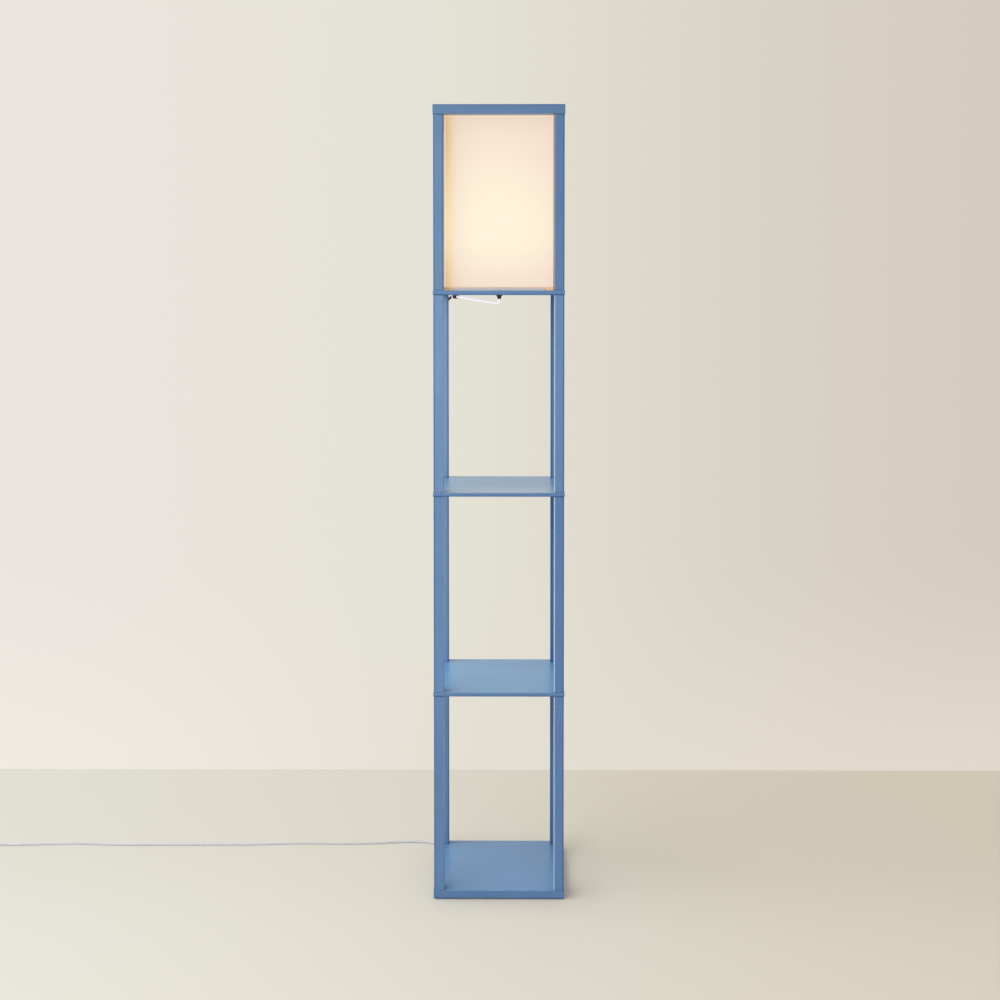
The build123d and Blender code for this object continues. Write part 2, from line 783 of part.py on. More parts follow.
with BuildPart() as switch_cover:
    add(switch_half(switch_z, switch_height - switch_z, True))
    with BuildSketch(Plane.XY.offset(switch_z)):
        with Locations((switch_middle_x, switch_y)):
            Rectangle(2 * well_half_length, 2 * well_half_width)
    extrude(amount=switch_height, mode=Mode.SUBTRACT)
    with BuildSketch(Plane.XZ.offset(-switch_y)):
        with Locations((switch_middle_x, rocker_axis_z)):
            Circle(rocker_pin_diameter / 2 + rocker_pin_clearance)
    extrude(amount=well_half_width + rocker_pin_reach, both=True, mode=Mode.SUBTRACT)
save(switch_cover, "switch_cover")

with BuildPart() as switch_rocker:
    rocker_plane = Plane(
        (switch_middle_x, switch_y, rocker_axis_z),
        x_dir=Vector(1, 0, 0).rotate(Axis.Y, rocker_tilt),
        z_dir=(0, -1, 0),
    )
    rocker_top = switch_height + rocker_rise - rocker_axis_z
    rocker_top_half = rocker_length / 2 - rocker_top * math.tan(math.radians(rocker_tilt))
    with BuildSketch(rocker_plane):
        with BuildLine():
            Polyline(
                (-rocker_top_half, rocker_top),
                (-rocker_length / 2, 0),
                (-rocker_length / 4, -rocker_pin_diameter),
                (rocker_length / 4, -rocker_pin_diameter),
                (rocker_length / 2, 0),
                (rocker_top_half, rocker_top),
            )
            ThreePointArc(
                (rocker_top_half, rocker_top), (0, rocker_top - rocker_dish), (-rocker_top_half, rocker_top)
            )
        make_face()
    extrude(amount=rocker_width / 2, both=True)
    with BuildSketch(rocker_plane):
        Circle(rocker_pin_diameter / 2)
    extrude(amount=well_half_width + rocker_pin_reach - rocker_gap / 2, both=True)
save(switch_rocker, "switch_rocker")


# ---- The put-away cord: a coil that spirals in on the floor and out again on top ----
turn_pitch = cord_diameter + cord_gap
coil_lower_z = cord_radius + tie_thickness + tie_gap
coil_upper_z = coil_lower_z + turn_pitch
coil_outer_radius = coil_middle_diameter / 2 + coil_turns_each_way * turn_pitch / 2
coil_inner_radius = coil_middle_diameter / 2 - coil_turns_each_way * turn_pitch / 2
coil_x = switch_outlet_x - cord_diameter - coil_lead
coil_y = switch_y - coil_outer_radius
spiral_angle = 2 * math.pi * coil_turns_each_way
coil_angle = 2 * spiral_angle + math.pi


def coil_place(angle):
    """A point of the coil's centreline, angle radians along it."""
    slope = turn_pitch / (2 * math.pi)
    if angle <= spiral_angle:
        radius, level = coil_outer_radius - slope * angle, coil_lower_z
    elif angle <= spiral_angle + math.pi:
        climb = angle - spiral_angle
        radius = coil_inner_radius - slope * math.sin(climb)
        level = coil_lower_z + turn_pitch * (climb - math.sin(2 * climb) / 2) / math.pi
    else:
        radius, level = coil_inner_radius + slope * (angle - spiral_angle - math.pi), coil_upper_z
    turned = math.pi / 2 + angle
    return Vector(coil_x + radius * math.cos(turned), coil_y + radius * math.sin(turned), level)


def coil_heading(angle):
    """The coil's direction there, from two points a little before and after."""
    step = 1e-4
    return (coil_place(min(angle + step, coil_angle)) - coil_place(max(angle - step, 0))).normalized()


def two_arcs(start, start_heading, end, end_heading):
    """Two arcs that leave start and reach end along the given headings, and meet smoothly."""
    chord, spread = end - start, start_heading + end_heading
    sharpness = 2 * (1 - start_heading.dot(end_heading))
    along = chord.dot(spread)
    nearly_parallel = 1e-9
    if sharpness < nearly_parallel:
        handle = chord.dot(chord) / (2 * along)
    else:
        handle = (-along + math.sqrt(along**2 + sharpness * chord.dot(chord))) / sharpness
    meeting = (start + end + (start_heading - end_heading) * handle) / 2
    meeting_heading = (end - end_heading * handle - start - start_heading * handle).normalized()
    TangentArc(start, meeting, tangent=start_heading)
    TangentArc(meeting, end, tangent=meeting_heading)


plug_z = plug_height / 2
coil_start = Vector(switch_outlet_x, switch_y, switch_z)
lead_start = coil_start - Vector(cord_diameter, 0, 0)
coil_end = coil_place(coil_angle)
lead_end = Vector(coil_end.X + coil_lead, coil_end.Y, plug_z)
plug_entry = lead_end + Vector(cord_diameter, 0, 0)
quarter_turns = round(coil_angle / (math.pi / 2))
with BuildPart() as cord_coil:
    with BuildLine() as coil_line:
        Line(coil_start, lead_start)
        two_arcs(lead_start, Vector(-1, 0, 0), coil_place(0), coil_heading(0))
        for quarter in range(quarter_turns):
            here, there = quarter * coil_angle / quarter_turns, (quarter + 1) * coil_angle / quarter_turns
            two_arcs(coil_place(here), coil_heading(here), coil_place(there), coil_heading(there))
        two_arcs(coil_end, coil_heading(coil_angle), lead_end, Vector(1, 0, 0))
        Line(lead_end, plug_entry)
    with BuildSketch(Plane(coil_start, z_dir=(-1, 0, 0))):
        Circle(cord_radius)
    sweep()
save(cord_coil, "cord_coil")


def least_self_gap(line, spacing=2.5, apart=40.0):
    """The least clear distance between stretches of the cord that lie well apart along it."""
    count = int(line.length / spacing)
    places = [line.position_at(i / count) for i in range(count + 1)]
    skip = int(apart / spacing)
    return min(
        (places[i] - places[j]).length for i in range(count + 1) for j in range(i + skip, count + 1)
    ) - cord_diameter


coil_wire = coil_line.wire()
coil_length = coil_wire.length
print("coil cord length", round(coil_length, 1), "least gap to itself", round(least_self_gap(coil_wire), 2))
print(
    "coil cord volume over section times length",
    round(cord_coil.part.volume / (math.pi * cord_radius**2 * coil_length), 4),
)
through_switch = switch_length + 2 * switch_nose_length
print("whole cord length", round(supply_length + coil_length + through_switch, 1))

# The tie goes once round the bundle of turns.
tie_bearing = math.radians(tie_angle)
tie_out = Vector(math.cos(tie_bearing), math.sin(tie_bearing), 0)
bundle_inner = coil_inner_radius - cord_radius - tie_gap
bundle_outer = coil_outer_radius + cord_radius + tie_gap
bundle_bottom = coil_lower_z - cord_radius - tie_gap
bundle_top = coil_upper_z + cord_radius + tie_gap
with BuildPart() as coil_tie:
    tie_middle = tie_out * ((bundle_inner + bundle_outer) / 2) + Vector(
        coil_x, coil_y, (bundle_bottom + bundle_top) / 2
    )
    tie_span, tie_rise = bundle_outer - bundle_inner, bundle_top - bundle_bottom
    with BuildSketch(Plane(tie_middle, x_dir=tie_out, z_dir=tie_out.cross(Vector(0, 0, 1)))):
        RectangleRounded(tie_span, tie_rise, tie_round)
        offset(amount=tie_thickness)
        RectangleRounded(tie_span, tie_rise, tie_round, mode=Mode.SUBTRACT)
    extrude(amount=tie_width / 2, both=True)
save(coil_tie, "coil_tie")

# ---- Plug: a moulded body with two flat blades ----
plug_back_x = plug_entry.X + plug_nose_length
plug_face_x = plug_back_x + plug_length


def plug_section(x):
    return Plane((x, coil_end.Y, plug_z), x_dir=(0, 1, 0), z_dir=(1, 0, 0))


with BuildPart() as plug_body:
    with BuildSketch(plug_section(plug_entry.X)):
        Circle(plug_nose_diameter / 2)
    with BuildSketch(plug_section(plug_back_x)):
        Ellipse(plug_width / 2 - plug_shoulder_side, plug_height / 2 - plug_shoulder_top)
    loft()
    with BuildSketch(plug_section(plug_back_x)):
        RectangleRounded(plug_width, plug_height, plug_height / 3)
    extrude(amount=plug_length)
    fillet(plug_body.faces().sort_by(Axis.X)[-1].edges(), plug_edge_round)
    grip_middle_x = plug_face_x - grip_from_face - (grip_grooves - 1) * grip_spacing / 2
    with BuildSketch(Plane.XZ.offset(-coil_end.Y)):
        for side in (-1, 1):
            with Locations((grip_middle_x, plug_z + side * plug_height / 2)):
                with GridLocations(grip_spacing, 0, grip_grooves, 1):
                    Rectangle(grip_width, 2 * grip_depth)
    extrude(amount=plug_width, both=True, mode=Mode.SUBTRACT)
save(plug_body, "plug_body")

with BuildPart() as plug_blades:
    with BuildSketch(plug_section(plug_face_x)):
        with GridLocations(blade_spacing, 0, 2, 1):
            Rectangle(blade_thickness, blade_height)
    extrude(amount=blade_length)
    tip_faces = plug_blades.faces().filter_by(Axis.X).group_by(Axis.X)[-1]
    chamfer(tip_faces.edges(), blade_tip_chamfer)
    with BuildSketch(Plane.XZ.offset(-coil_end.Y)):
        with Locations((plug_face_x + blade_length - blade_hole_from_tip, plug_z)):
            Circle(blade_hole_diameter / 2)
    extrude(amount=plug_width, both=True, mode=Mode.SUBTRACT)
save(plug_blades, "plug_blades")
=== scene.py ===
import math

import bmesh
import bpy
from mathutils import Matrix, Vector


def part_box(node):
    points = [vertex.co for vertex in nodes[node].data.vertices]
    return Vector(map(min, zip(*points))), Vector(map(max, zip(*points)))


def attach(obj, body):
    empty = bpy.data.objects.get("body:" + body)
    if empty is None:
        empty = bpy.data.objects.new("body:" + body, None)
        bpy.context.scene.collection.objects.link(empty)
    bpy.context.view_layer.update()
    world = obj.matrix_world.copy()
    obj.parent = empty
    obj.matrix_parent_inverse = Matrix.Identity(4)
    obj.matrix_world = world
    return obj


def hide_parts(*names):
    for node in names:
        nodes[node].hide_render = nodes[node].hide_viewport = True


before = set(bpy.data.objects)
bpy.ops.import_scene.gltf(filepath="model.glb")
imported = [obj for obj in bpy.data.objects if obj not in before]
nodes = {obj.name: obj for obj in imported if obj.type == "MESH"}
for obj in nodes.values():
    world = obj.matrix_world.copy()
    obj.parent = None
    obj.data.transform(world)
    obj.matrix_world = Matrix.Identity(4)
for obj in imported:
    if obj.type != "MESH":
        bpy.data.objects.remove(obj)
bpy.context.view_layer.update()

# A shelf floor lamp, dressed for its picture. It is in metres, Z up, and stands on the floor at z = 0.
scene = bpy.context.scene
scene.view_settings.view_transform = "Standard"


# ---- camera ----
view = {
    "place": (0.0183, -2.937, 1.213),
    "pitchDown": 2.0,
    "turnLeft": 0.326,
    "lens": 50.65,
    "shiftUp": -0.1515,
}
camera = bpy.data.objects.new("camera", bpy.data.cameras.new("camera"))
scene.collection.objects.link(camera)
camera.location = view["place"]
camera.rotation_euler = (math.radians(90 - view["pitchDown"]), 0, math.radians(view["turnLeft"]))
camera.data.lens = view["lens"]
camera.data.shift_y = view["shiftUp"]
scene.camera = camera
print("camera placed")


# ---- cord: one line from the strain relief, through the switch and the coil, to the plug ----
cord = {
    "diameter": 0.0044,
    "sleeveDiameter": 0.0054,
    "sleeveFrom": 8,
    "sleeveTo": 11,
    "length": 3.38,
    "dropX": -0.1215,
    "dropY": 0.1353,
    "onFloor": 0.0022,
    "switchY": 0.1405,
    "switchZ": 0.0065,
    "plugEntry": (-1.2040, 0.07825, 0.0065),
    "pointsPerTurn": 16,
    "white": (0.50, 0.495, 0.54, 1),
    "greyer": (0.45, 0.445, 0.49, 1),
    "mottleScale": 90,
    "mottleSpread": (0.3, 0.7),
    "mottleRoughness": 0.06,
    "roughness": 0.5,
    "gleamFrom": 1.0,
    "gleamTo": 1.2,
    "gleamLow": (0.08, 0.08, 0.10, 1),
    "gleamHigh": (0.66, 0.65, 0.70, 1),
    "gleam": 1.0,
}
coil = {
    "middle": (-1.2324, 0.109375),
    "outerRadius": 0.031125,
    "innerRadius": 0.018875,
    "pitch": 0.0049,
    "turnsEachWay": 2.5,
    "lowZ": 0.0031,
    "highZ": 0.0080,
}
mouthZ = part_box("strain_relief")[0].z
dropX, dropY, onFloor = cord["dropX"], cord["dropY"], cord["onFloor"]

cordRoute = [
    (0, 0, mouthZ),
    (0, 0, mouthZ - 0.0044),
    (-0.0022, 0.0025, mouthZ - 0.0076),
    (-0.0070, 0.0084, mouthZ - 0.0080),
    (-0.0165, 0.0202, mouthZ - 0.0070),
    (-0.0350, 0.0430, mouthZ - 0.0046),
    (-0.0620, 0.0750, mouthZ + 0.0002),
    (-0.0870, 0.1045, mouthZ + 0.0047),
    (-0.1030, 0.1250, mouthZ + 0.0046),
    (-0.1092, 0.1347, mouthZ + 0.0036),
    (-0.1146, 0.1414, mouthZ - 0.0052),
    (dropX + 0.0042, 0.1428, mouthZ - 0.0200),
    (dropX + 0.0024, dropY + 0.0042, mouthZ - 0.0395),
    (dropX, dropY, mouthZ - 0.0620),
    (dropX, dropY, mouthZ - 0.0840),
    (dropX, dropY, onFloor + 0.0341),
    (dropX, dropY, onFloor + 0.0141),
    (dropX - 0.0104, dropY + 0.0095, onFloor),
    (-0.1520, 0.1630, onFloor),
    (-0.2060, 0.1660, onFloor),
    (-0.2660, 0.1562, onFloor),
    (-0.3270, 0.1526, onFloor),
    (-0.3880, 0.1538, onFloor),
    (-0.4490, 0.1549, onFloor),
    (-0.5080, 0.1504, onFloor),
    (-0.5700, 0.1466, onFloor),
    (-0.6340, 0.1469, onFloor),
    (-0.6970, 0.1446, onFloor),
    (-0.7600, 0.1453, onFloor),
    (-0.8220, 0.1439, onFloor),
    (-0.8760, 0.1454, onFloor),
    (-0.9300, 0.1512, onFloor),
    (-0.9860, 0.1490, onFloor),
    (-1.0440, 0.1440, onFloor),
    (-1.0980, 0.1416, onFloor),
    (-1.1240, cord["switchY"], cord["switchZ"]),
    (-1.1420, cord["switchY"], cord["switchZ"]),
    (-1.2040, cord["switchY"], cord["switchZ"]),
    (-1.2110, cord["switchY"], cord["switchZ"] - 0.0004),
    (-1.2220, cord["switchY"], coil["lowZ"] + 0.0006),
]


def coilPoint(turn):
    # a place on the coil, turn turns along: in towards the middle, up a layer, and out again
    inEnd = coil["turnsEachWay"]
    if turn <= inEnd:
        radius, level = coil["outerRadius"] - coil["pitch"] * turn, coil["lowZ"]
    elif turn <= inEnd + 0.5:
        climb = 2 * math.pi * (turn - inEnd)
        radius = coil["innerRadius"] - coil["pitch"] / (2 * math.pi) * math.sin(climb)
        level = coil["lowZ"] + coil["pitch"] * (climb - math.sin(2 * climb) / 2) / math.pi
    else:
        radius, level = coil["innerRadius"] + coil["pitch"] * (turn - inEnd - 0.5), coil["highZ"]
    # the spline cuts inside its points, so they stand a little further out
    reach = radius / math.cos(math.pi / cord["pointsPerTurn"])
    bearing = 2 * math.pi * (turn + 0.25)
    centreX, centreY = coil["middle"]
    return centreX + reach * math.cos(bearing), centreY + reach * math.sin(bearing), level


coilTurns = 2 * coil["turnsEachWay"] + 0.5
coilSteps = round(coilTurns * cord["pointsPerTurn"])
cordRoute += [coilPoint(coilTurns * step / coilSteps) for step in range(1, coilSteps)]
coilEnd = coilPoint(coilTurns)
plugEntry = cord["plugEntry"]
cordRoute += [
    (coilEnd[0] + 0.004, plugEntry[1], coil["highZ"]),
    (-1.2180, plugEntry[1], coil["highZ"] - 0.0006),
    (-1.2100, plugEntry[1], plugEntry[2]),
    plugEntry,
]


def openSpline(name, route, radius):
    curve = bpy.data.curves.new(name, "CURVE")
    curve.dimensions = "3D"
    curve.resolution_u = 8
    curve.bevel_depth = 1
    curve.bevel_resolution = 5
    curve.use_fill_caps = True
    spline = curve.splines.new("NURBS")
    spline.points.add(len(route) - 1)
    for point, place in zip(spline.points, route):
        point.co = (*place, 1)
        point.radius = radius
    spline.order_u = 3
    spline.use_endpoint_u = True
    piece = bpy.data.objects.new(name, curve)
    scene.collection.objects.link(piece)
    return piece


powerCord = openSpline("powerCord", cordRoute, cord["diameter"] / 2)
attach(powerCord, "tower")
# a dark sleeve on it, from the clip under the shelf to the back of the post
sleeveRoute = cordRoute[cord["sleeveFrom"]:cord["sleeveTo"]]
clipSleeve = openSpline("clipSleeve", sleeveRoute, cord["sleeveDiameter"] / 2)
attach(clipSleeve, "tower")
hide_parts("supply_cord", "cord_coil")
print("cord laid")


# ---- materials: how node trees are written ----
class Signal:
    # an output of a material's node; sums on it add Math nodes to the same tree
    def __init__(self, finish, socket):
        self.finish = finish
        self.socket = socket

    def sum(self, operation, *terms):
        return self.finish.add("ShaderNodeMath", {"operation": operation}, dict(enumerate(terms)))

    def __add__(self, other):
        return self.sum("ADD", self, other)

    def __radd__(self, other):
        return self.sum("ADD", other, self)

    def __sub__(self, other):
        return self.sum("SUBTRACT", self, other)

    def __rsub__(self, other):
        return self.sum("SUBTRACT", other, self)

    def __mul__(self, other):
        return self.sum("MULTIPLY", self, other)

    def __rmul__(self, other):
        return self.sum("MULTIPLY", other, self)

    def __truediv__(self, other):
        return self.sum("DIVIDE", self, other)

    def __rtruediv__(self, other):
        return self.sum("DIVIDE", other, self)

    def __pow__(self, other):
        return self.sum("POWER", self, other)

    def __rpow__(self, other):
        return self.sum("POWER", other, self)

    def __neg__(self):
        return self.sum("MULTIPLY", self, -1)

    def __abs__(self):
        return self.sum("ABSOLUTE", self)

    def least(self, other):
        return self.sum("MINIMUM", self, other)

    def most(self, other):
        return self.sum("MAXIMUM", self, other)

    def sine(self):
        return self.sum("SINE", self)

    def above(self, limit):
        return self.sum("GREATER_THAN", self, limit)

    def rise(self, low, high):
        # 0 below low and 1 above high, eased between them
        inputs = {"Value": self, "From Min": low, "From Max": high}
        return self.finish.add("ShaderNodeMapRange", {"interpolation_type": "SMOOTHSTEP"}, inputs)

    def fall(self, low, high):
        # 1 below low and 0 above high
        return 1 - self.rise(low, high)

    def upTo(self, edge, band):
        # 0 at the first of band's two distances short of edge, and 1 at the second
        return self.rise(edge - band[0], edge - band[1])

    def atLeast(self, share):
        # what went from 0 to 1 goes from share to 1
        return self * (1 - share) + share


class Finish:
    # a material while its nodes are put in
    def __init__(self, name):
        self.material = bpy.data.materials.new(name)
        self.material.use_nodes = True
        self.tree = self.material.node_tree
        self.tree.nodes.clear()

    def add(self, kind, settings, inputs, output=0):
        node = self.tree.nodes.new(kind)
        for key, value in settings.items():
            if key == "stops":
                ramp = node.color_ramp
                while len(ramp.elements) < len(value):
                    ramp.elements.new(0.5)
                for element, (position, tint) in zip(ramp.elements, value):
                    element.position = position
                    element.color = tint
            else:
                setattr(node, key, value)
        for key, value in inputs.items():
            if isinstance(value, Signal):
                self.tree.links.new(value.socket, node.inputs[key])
            else:
                node.inputs[key].default_value = value
        return Signal(self, node.outputs[output]) if len(node.outputs) else None

    def place(self):
        return self.add("ShaderNodeTexCoord", {}, {}, "Object")

    def axes(self):
        place = self.place()
        return [self.add("ShaderNodeSeparateXYZ", {}, {0: place}, axis) for axis in "XYZ"]

    def noise(self, scale, detail=2, stretch=(1, 1, 1)):
        place = self.add("ShaderNodeMapping", {}, {"Vector": self.place(), "Scale": stretch})
        return self.add("ShaderNodeTexNoise", {}, {"Vector": place, "Scale": scale, "Detail": detail})

    def mix(self, share, first, second):
        # sockets 6 and 7 take the two colours, and output 2 is the mixed one
        return self.add("ShaderNodeMix", {"data_type": "RGBA"}, {0: share, 6: first, 7: second}, 2)

    def bump(self, height, distance, strength):
        return self.add("ShaderNodeBump", {}, {"Height": height, "Distance": distance, "Strength": strength})

    def close(self, inputs):
        surface = self.add("ShaderNodeBsdfPrincipled", {}, inputs)
        self.add("ShaderNodeOutputMaterial", {}, {"Surface": surface})
        return self.material


def colour(red, green, blue):
    # a colour as it is seen on a screen, 0 to 255, made linear
    parts = [part / 255 for part in (red, green, blue)]
    return (*[p / 12.92 if p <= 0.04045 else ((p + 0.055) / 1.055) ** 2.4 for p in parts], 1)


def darker(tint, share):
    return (*[part * share for part in tint[:3]], 1)


def finishNodes(material, names):
    for name in names:
        mesh = nodes[name].data
        mesh.materials.clear()
        mesh.materials.append(material)


# ---- blue paint, on the posts, boards and rails ----
# a band is two distances from an edge, between which a tone fades; a spread is two levels of a pattern
paint = {
    # each tier of posts has its own blue; the upper bay's lighter blue is painted light
    "blue": {
        "boards": colour(92, 130, 177),
        "base_board": colour(85, 126, 177),
        "top_rail": colour(92, 127, 170),
        "lamp_bay": colour(97, 131, 173),
        "upper_bay": colour(108, 143, 188),
        "middle_bay": colour(97, 136, 184),
        "lower_bay": colour(94, 133, 184),
    },
    "cloudScale": 4.5,
    "cloudSpread": (0.3, 0.7),
    "cloudShade": 0.88,
    "cloudRoughness": 0.05,
    "paleBlue": colour(136, 167, 201),
    "wearAndSheenScale": 38,
    "wearAndSheenSpread": (0.5, 0.72),
    "wearAndSheenBand": (0.0003, 0.0016),
    "wearAndSheenShare": 0.35,
    "wearAndSheenRoughness": 0.08,
    "fibreScale": 420,
    "fibreStretch": 0.035,
    "fibreSpread": (0.35, 0.75),
    "fibreShare": 0.07,
    "rollerScale": 1500,
    "rollerRoughness": 0.04,
    "roughness": 0.25,
    "reliefDepth": 0.00012,
    "reliefStrength": 0.5,
    "edge": colour(46, 90, 150),
    "edgeShare": 0.85,
    "postEdgeBand": (0.00136, 0.0034),
    "rimHeightBand": (0.00068, 0.00272),
    "rimDepthBand": (0.00102, 0.0034),
    "innerEdgeShare": {"lamp_bay": 0.6},
    "outerHalfBlend": 0.001,
    "joint": colour(38, 62, 104),
    "jointBand": (0.00044, 0.0011),
    "jointShare": 0.85,
    "shaded": colour(74, 112, 168),
    "rightShaded": {"lamp_bay": 0.4, "upper_bay": 0.2, "middle_bay": 0.5, "lower_bay": 0.3},
    "bayFaceBand": (0.0004, 0.0014),
    "backShaded": colour(48, 98, 162),
    "backRightShaded": {"lamp_bay": 0.2, "upper_bay": 0.4, "middle_bay": 0.68, "lower_bay": 0.45},
    "backLit": colour(142, 184, 226),
    "backLeftLit": {"lamp_bay": 0.16, "upper_bay": 0.22, "middle_bay": 0.16, "lower_bay": 0.04},
    "litEdge": colour(196, 218, 230),
    "litEdgeWarm": colour(232, 200, 176),
    "litEdgeBand": (0.0011, 0.0022),
    "litFrontBand": (0.0005, 0.003),
    "litEdgeShare": {"lamp_bay": 0.7, "upper_bay": 0.65, "middle_bay": 0.8, "lower_bay": 0.7},
    "boardTopLit": {
        "base_board": colour(102, 152, 193),
        "lower_shelf": colour(99, 155, 201),
        "upper_shelf": colour(106, 148, 187),
        "lamp_shelf": colour(106, 148, 187),
    },
    "boardTopLitShare": {"base_board": 0.4, "lower_shelf": 0.8, "upper_shelf": 1.0, "lamp_shelf": 1.0},
    "boardTopLitBand": (0.0009, 0.0003),
    "streakScale": 60,
    "streakStretch": 0.06,
    "streakSpread": (0.3, 0.7),
    "streakLeast": 0.7,
    "paintedReflection": colour(178, 190, 198),
    "paintedReflectionShare": {"upper_shelf": 0.42},
    "paintedReflectionSpan": (-0.1, 0.8),
    "paintedReflectionLeast": 0.6,
}
corners = [f"{side}_{hand}" for side in ("front", "back") for hand in ("left", "right")]
tiers = ["lower_bay", "middle_bay", "upper_bay", "lamp_bay"]
boards = ["base_board", "lower_shelf", "upper_shelf", "lamp_shelf"]
# each rail's mirror image at the back or on the right, and the axis its grain runs along
rails = {"front": ("back", 0), "back": ("back", 0), "left": ("right", 1), "right": ("right", 1)}


def boardTopLitPaint(finish, base, board, y, z, high):
    # painted light on the top, in streaks, and on some boards a painted reflection thicker at the front
    onTop = z.upTo(high[2], paint["boardTopLitBand"])
    streaks = finish.noise(paint["streakScale"], 3, (paint["streakStretch"], 1, 1))
    streaks = streaks.rise(*paint["streakSpread"])
    lighter = onTop * streaks.atLeast(paint["streakLeast"]) * paint["boardTopLitShare"][board]
    base = finish.mix(lighter, base, paint["boardTopLit"][board])
    if board in paint["paintedReflectionShare"]:
        inFront = (-y).rise(*[high[1] * share for share in paint["paintedReflectionSpan"]])
        reflection = inFront * streaks.atLeast(paint["paintedReflectionLeast"]) * paint["paintedReflectionShare"][board]
        base = finish.mix(onTop * reflection, base, paint["paintedReflection"])
    return base


def postFacesPaint(finish, base, tier, x, y, low, high):
    atRight, atBack = x.above(0), y.above(0)
    # painted shade over the right front posts
    frontRight = atRight * (1 - atBack)
    base = finish.mix(frontRight * paint["rightShaded"][tier], base, paint["shaded"])
    # the back posts' front faces are lit on the left and in shade on the right
    backFace = (abs(y) - low[1]).fall(*paint["bayFaceBand"]) * atBack
    base = finish.mix(backFace * (1 - atRight) * paint["backLeftLit"][tier], base, paint["backLit"])
    base = finish.mix(backFace * atRight * paint["backRightShaded"][tier], base, paint["backShaded"])
    # and the right front posts' inner front edge catches the light
    litEdge = (high[1] - abs(y)).fall(*paint["litFrontBand"])
    litEdge = litEdge * (abs(x) - low[0]).fall(*paint["litEdgeBand"])
    lit = paint["litEdgeWarm" if tier == "lamp_bay" else "litEdge"]
    return finish.mix(litEdge * frontRight * paint["litEdgeShare"][tier], base, lit)


def postEdges(tier, x, y, across, along, low, high):
    # the outer edges of the front posts and all edges of the back ones, and in the lamp bay the rest, lighter
    middle, blend = (low[0] + high[0]) / 2, paint["outerHalfBlend"]
    outerHalf = abs(x).rise(middle - blend, middle + blend)
    innerEdge = paint["innerEdgeShare"].get(tier, 0) / paint["edgeShare"]
    return across.most(along).fall(*paint["postEdgeBand"]) * outerHalf.most(y.above(0)).atLeast(innerEdge)


def bluePaint(name, low, high, grain, tone, darkEdge, joints=(), board=None):
    # low and high are the corners of a piece on the right and at the back, whose mirror images share it
    finish = Finish(name)
    blue = paint["blue"][tone]
    x, y, z = finish.axes()
    depths = []
    for axis, bottom, top in zip((abs(x), abs(y), z), low, high):
        depths.append((top - bottom) / 2 - abs(axis - (top + bottom) / 2))
    across, along, up = depths
    # on the surface, the middle one of the three depths is how far the nearest edge is
    edgeDepth = across.least(along).most(across.most(along).least(up))
    # lighter in patches near the edges: wear, and a painted sheen where the edges catch the light
    wearAndSheen = edgeDepth.fall(*paint["wearAndSheenBand"]) * finish.noise(paint["wearAndSheenScale"], 3).rise(*paint["wearAndSheenSpread"])
    cloudy = finish.noise(paint["cloudScale"], 3).rise(*paint["cloudSpread"])
    stretch = [1.0, 1.0, 1.0]
    stretch[grain] = paint["fibreStretch"]
    fibres = finish.noise(paint["fibreScale"], 3, stretch)
    roller = finish.noise(paint["rollerScale"])
    base = finish.mix(cloudy, darker(blue, paint["cloudShade"]), blue)
    base = finish.mix(fibres.rise(*paint["fibreSpread"]) * paint["fibreShare"], base, paint["paleBlue"])
    if board:
        base = boardTopLitPaint(finish, base, board, y, z, high)
    base = finish.mix(wearAndSheen * paint["wearAndSheenShare"], base, paint["paleBlue"])
    # darker along the edges that darkEdge names
    if darkEdge == "sides":
        base = postFacesPaint(finish, base, tone, x, y, low, high)
        edge = postEdges(tone, x, y, across, along, low, high)
    else:
        fromRim = z - low[2] if darkEdge == "bottom" else high[2] - z
        edge = fromRim.fall(*paint["rimHeightBand"]) * across.least(along).fall(*paint["rimDepthBand"])
    base = finish.mix(edge * paint["edgeShare"], base, paint["edge"])
    for level in joints:
        seam = abs(z - level).fall(*paint["jointBand"])
        base = finish.mix(seam * paint["jointShare"], base, paint["joint"])
    roughness = paint["roughness"] + (cloudy * paint["cloudRoughness"] + roller * paint["rollerRoughness"])
    return finish.close({
        "Base Color": base,
        "Roughness": roughness + wearAndSheen * paint["wearAndSheenRoughness"],
        "Normal": finish.bump((fibres + roller) / 2, paint["reliefDepth"], paint["reliefStrength"]),
    })


postLow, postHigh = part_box("lamp_bay_post_back_right")
belowAll, aboveAll = -1, 3  # a post's paint has no edge at its ends
for tier in tiers:
    tierPosts = [f"{tier}_post_{corner}" for corner in corners]
    ends = [end.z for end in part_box(tierPosts[0])]
    low, high = (*postLow[:2], belowAll), (*postHigh[:2], aboveAll)
    finishNodes(bluePaint(f"{tier}_paint", low, high, 2, tier, "sides", joints=ends), tierPosts)
for board in boards:
    low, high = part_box(board)
    tone = board if board in paint["blue"] else "boards"
    finishNodes(bluePaint(f"{board}_paint", low, high, 0, tone, "bottom", board=board), [board])
for rail, (far, grain) in rails.items():
    low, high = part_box(f"top_rail_{far}")
    railPaint = bluePaint(f"top_rail_{rail}_paint", low, high, grain, "top_rail", "top")
    finishNodes(railPaint, [f"top_rail_{rail}"])
print("paint on")


